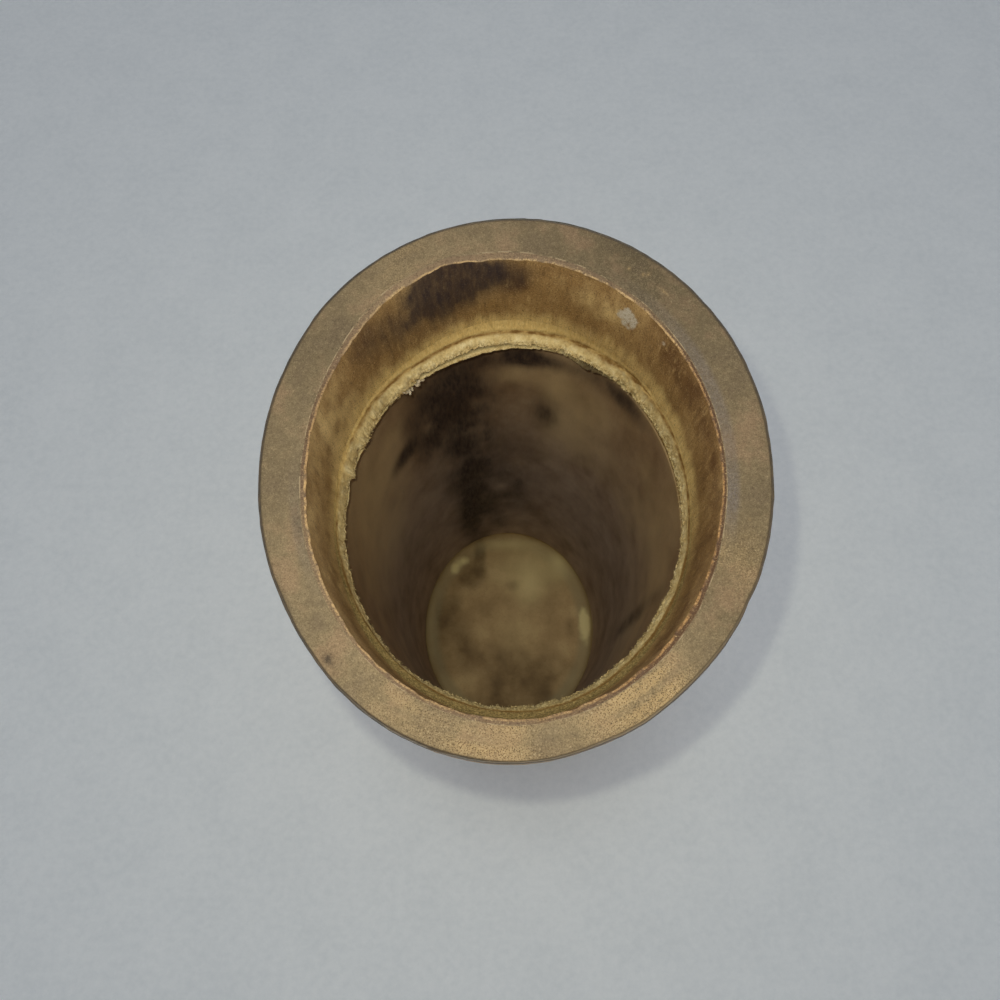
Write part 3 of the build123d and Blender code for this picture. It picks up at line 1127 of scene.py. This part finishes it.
def make_fibres(material):
    """Fibres that stand out of the torn edge."""
    draw = np.random.default_rng(181)
    angle = torn_angles(draw, 620, fibre_bumps, 0.25)
    count = len(angle)
    reach = upper_reach(angle[None, :])[0]
    base = bore(angle, ring_middle + draw.uniform(0.2, 1.0, count), reach - 0.45)
    inward = np.stack([-np.cos(angle), -np.sin(angle), np.zeros(count)], axis=1)
    along = np.stack([-np.sin(angle), np.cos(angle), np.zeros(count)], axis=1)
    sag = np.array([0.0, 0.0, 1.0]) * draw.uniform(-0.9, 0.5, (count, 1))
    ways = inward + along * draw.normal(0, 0.7, (count, 1)) + sag
    # Some fibres get painted shade, at random
    values = {
        "tip": draw.uniform(0.0, 0.6, count),
        "crevice_shade": draw.uniform(0.0, 0.3, count),
        # Dust and painted shade on the near side
        "dust_and_shade": 0.8 * dust_and_shade_share(angle),
    }
    lengths = 0.45 + draw.uniform(0.15, 0.75, count)
    widths = draw.uniform(0.1, 0.22, count)
    add_spindles("torn_fibres", base, ways, lengths, widths, 0.5, 182, values, material)


def make_crumbs(material):
    """Crumbs that cling to the torn edge, most of them on the near side."""
    draw = np.random.default_rng(191)
    angle = torn_angles(draw, 420, crumb_bumps, 0.15)
    count = len(angle)
    reach = upper_reach(angle[None, :])[0]
    inset = reach - draw.uniform(0.05, 0.7, count)
    base = bore(angle, ring_middle + 0.75 + 0.35 * (reach - inset), inset)
    ways = draw.normal(0, 1, (count, 3))
    # Some crumbs get painted shade, at random
    values = {
        "crevice_shade": draw.uniform(0.0, 0.25, count),
        # Dust and painted shade, at random, on the near side
        "dust_and_shade": draw.uniform(0.0, 0.7, count) * dust_and_shade_share(angle),
    }
    lengths = draw.uniform(0.25, 0.65, count)
    widths = draw.uniform(0.2, 0.5, count)
    add_spindles("loose_crumbs", base, ways, lengths, widths, 0.1, 192, values, material)


def make_husks(material):
    """Two small heaps of pale flakes at the torn edge on the far left."""
    draw = np.random.default_rng(203)
    heap = 5
    count = 2 * heap
    angle = np.radians(join([draw.normal(129.6, 0.7, heap), draw.normal(133.8, 0.7, heap)]))
    reach = upper_reach(angle[None, :])[0]
    base = bore(angle, ring_middle + draw.uniform(-0.6, 0.0, count), reach + draw.uniform(-0.2, 0.7, count))
    ways = draw.normal(0, 1, (count, 3)) * (1.0, 1.0, 0.3)
    values = {"scuff": draw.uniform(0.75, 1.0, count)}
    lengths = draw.uniform(1.3, 2.3, count)
    widths = draw.uniform(0.9, 1.6, count)
    add_spindles("loose_husks", base, ways, lengths, widths, 0.2, 202, values, material, 0.4)


def dish_rows(angle, face, root_end, seed):
    """Rows of a diaphragm's face from its middle to its root, and their share of its width."""
    root = abs(root_end - face)
    flat = bore_radii[0] - root
    shares = np.linspace(0.02, 1, 60)
    swell = np.linspace(0, pi / 2, 14)[1:]
    side = np.sign(root_end - face)
    rows = []
    for share in shares:
        bow = floor_bow * (1 - share ** 2)
        uneven = 0.16 * ripples(angle, share, 40, 6, seed) * share
        rows.append(oval(angle, bore_middle, (bore_radii - root) * share, 0.0, face - side * bow + uneven))
    for part in swell:
        rise = root * (1 - cos(part))
        rows.append(oval(angle, bore_middle, bore_radii - root, root * sin(part), face + side * rise))
    across = join([shares * flat, flat + root * np.sin(swell)]) / bore_radii[0]
    return join(rows), column(across)


def floor_values(angle, across):
    """Blotches, painted pools of light and highlights, and greyer edge of the floor's upper face."""
    x = across * bore_radii[0] * np.cos(angle)
    y = across * bore_radii[1] * np.sin(angle)
    wide = (1 + x / bore_radii[0]) * pi
    long = (1 + y / bore_radii[1]) / 2
    blotch = patches(x, y, floor_blotches) * (1 + 0.28 * rough(wide, long, 9, 10, 162))
    # Painted highlights with crisp edges, and painted pools of light
    highlight = patches(x, y, floor_highlights) * (1 + 0.4 * rough(wide, long, 18, 20, 163))
    light = patches(x, y, floor_light_pools) + 0.75 * ease((highlight - 0.25) / 0.45)
    rim = ease((across - 0.8) / 0.1) * (1 - 0.6 * hump(angle, 90, 45))
    return {"blotch": 0.85 * ease((blotch - 0.12) / 0.5), "light": limit(light), "rim": rim}


def make_floor(material):
    """The whole diaphragm that closes the vase, in its two layers."""
    angle = turn(FLOOR_STEPS)
    inner = oval(angle, bore_middle, seat_radii * 0.5, 0.0, np.full((1, 1), floor_middle))
    hidden = np.zeros((3, FLOOR_STEPS))
    middle = (*bore_middle, floor_middle)

    face = floor_high - floor_root
    rows, across = dish_rows(angle, face, floor_high, 161)
    back = seat(angle, column([floor_middle, floor_high]))
    shown = floor_values(angle, across)
    values = {name: join([hidden, value[::-1]]) for name, value in shown.items()}
    poles = [middle, (*bore_middle, face - floor_bow)]
    order = [inner, back, rows[::-1]]
    add_disc("floor_top", order, poles, values, material, ["floor_upper_layer"])

    face = floor_low + floor_root
    rows, across = dish_rows(angle, face, floor_low, 171)
    back = seat(angle, column([floor_low, floor_middle]))
    rim = ease((across - 0.8) / 0.1) * np.ones_like(angle)
    values = {
        "blotch": join([0.5 * limit(rough(angle, across, 14, 5, 172)), hidden]),
        "rim": join([rim, hidden]),
    }
    poles = [(*bore_middle, face + floor_bow), middle]
    order = [rows, back, inner]
    add_disc("floor_underside", order, poles, values, material, ["floor_lower_layer"])


# Stage, lights and camera

def make_stage():
    """A plain pale table, faintly mottled."""
    made = Finish("table", 0.9, 0.1)
    weave = made.noise(240, 240, 4, 0.75)
    mottle = made.plus(made.times(made.noise(30, 30, 6, 0.7), 0.5), weave, 0.5)
    made.colour = made.ramp(mottle, (0.36, 241, 244, 243), (0.64, 252, 254, 252))
    far = table_reach
    mesh = bpy.data.meshes.new("table_top")
    mesh.from_pydata([(-far, -far, 0), (far, -far, 0), (far, far, 0), (-far, far, 0)], [], [(0, 1, 2, 3)])
    table = bpy.data.objects.new("table_top", mesh)
    mesh.materials.append(made.finish(0.9, weave, 0.05))
    scene.collection.objects.link(table)


def make_world():
    """Soft light, strongest low down, and a pale background where it is seen or reflected."""
    world = bpy.data.worlds.new("studio")
    scene.world = world
    world.use_nodes = True
    tree = world.node_tree
    tree.nodes.clear()
    made = Nodes(tree)
    height = made.add("SeparateXYZ", "Z", {0: made.add("TexCoord", "Generated", {})})
    glow = made.band(height, *glow_range, horizon_light, zenith_light)
    light = made.add("Background", 0, {"Color": sky_colour, "Strength": glow})
    seen = made.add("Background", 0, {"Color": shade(*backdrop_colour)})
    rays = tree.nodes.new("ShaderNodeLightPath").outputs
    shown = rays["Is Camera Ray"]
    for ray in ("Is Glossy Ray", "Is Transmission Ray"):
        shown = made.maths("MAXIMUM", shown, rays[ray])
    picked = made.add("MixShader", 0, {"Fac": shown, 1: light, 2: seen})
    made.feed(tree.nodes.new("ShaderNodeOutputWorld"), {"Surface": picked})


def add_lamp(name, start, target, offset, width, level, colour):
    """A round soft lamp that gives a white card at the target that level of light."""
    place = start + Vector(offset)
    lamp = bpy.data.lights.new(name, "AREA")
    lamp.shape = "DISK"
    lamp.size = width / MM
    distance = (place - target).length / MM
    lamp.energy = level * pi * pi * distance ** 2
    lamp.color = colour
    item = bpy.data.objects.new(name, lamp)
    item.location = place / MM
    item.rotation_mode = "QUATERNION"
    item.rotation_quaternion = (target - place).to_track_quat("-Z", "Y")
    item.visible_camera = False
    scene.collection.objects.link(item)


def make_camera():
    """The photograph's camera: almost straight down, a hand's length above the rim."""
    tilt = radians(camera_tilt)
    lean = radians(camera_lean)
    right = Vector((1, 0, 0))
    back = Vector((0, -sin(tilt), cos(tilt)))
    up = Vector((0, cos(tilt), sin(tilt)))
    leaned_right = right * cos(lean) - back * sin(lean)
    leaned_back = right * sin(lean) + back * cos(lean)
    place = Vector((0, 0, rim_z)) + leaned_back * camera_distance
    place = place + leaned_right * camera_right
    place = place + up * camera_up
    data = bpy.data.cameras.new("camera")
    data.sensor_width = sensor_width
    data.lens = focal_pixels / picture_width * sensor_width
    data.clip_start = clip_start
    camera = bpy.data.objects.new("camera", data)
    turned = Matrix((leaned_right, up, leaned_back)).transposed().to_4x4()
    camera.matrix_world = Matrix.Translation(place / MM) @ turned
    scene.collection.objects.link(camera)
    scene.camera = camera
    return place


def make_lights(eye):
    """A lamp high over the mouth, and a small one beside the camera."""
    mouth = Vector((0, 0, rim_z))
    add_lamp("overhead", mouth, mouth, *high_lamp)
    add_lamp("beside_camera", eye, mouth, *small_lamp)


def make_vase():
    """All pieces of the vase with their materials."""
    skin = bamboo_skin()
    scar = sheath_scar()
    lining = pith_lining()
    torn = torn_fibre()
    make_wall(end_grain())
    near_edge = rim_z - np.array(rim_edge_steps)
    rim_levels = join([np.linspace(rim_skin_low, rim_z - 3.2, 52), near_edge])
    make_skin("rim_bark", rim_levels, skin, "rim_skin")
    make_skin("body_bark", np.linspace(body_skin_low, body_skin_high, BODY_ROWS), skin, "body_skin")
    make_skin("foot_bark", np.linspace(foot_skin_low, foot_skin_high, 16), skin, "foot_skin")
    make_scar("upper_scar_ring", body_skin_high, rim_skin_low, scar, "upper_sheath_scar")
    make_scar("lower_scar_ring", foot_skin_high, body_skin_low, scar, "lower_sheath_scar")
    make_rim_lining(lining)
    make_chamber_lining(lining)
    make_foot_lining(lining)
    make_upper_ring(torn)
    make_lower_ring(torn)
    make_fibres(torn)
    make_crumbs(torn)
    make_husks(lining)
    make_floor(floor_pith())


make_vase()
make_stage()
make_world()
make_lights(make_camera())
scene.view_settings.view_transform = "Standard"
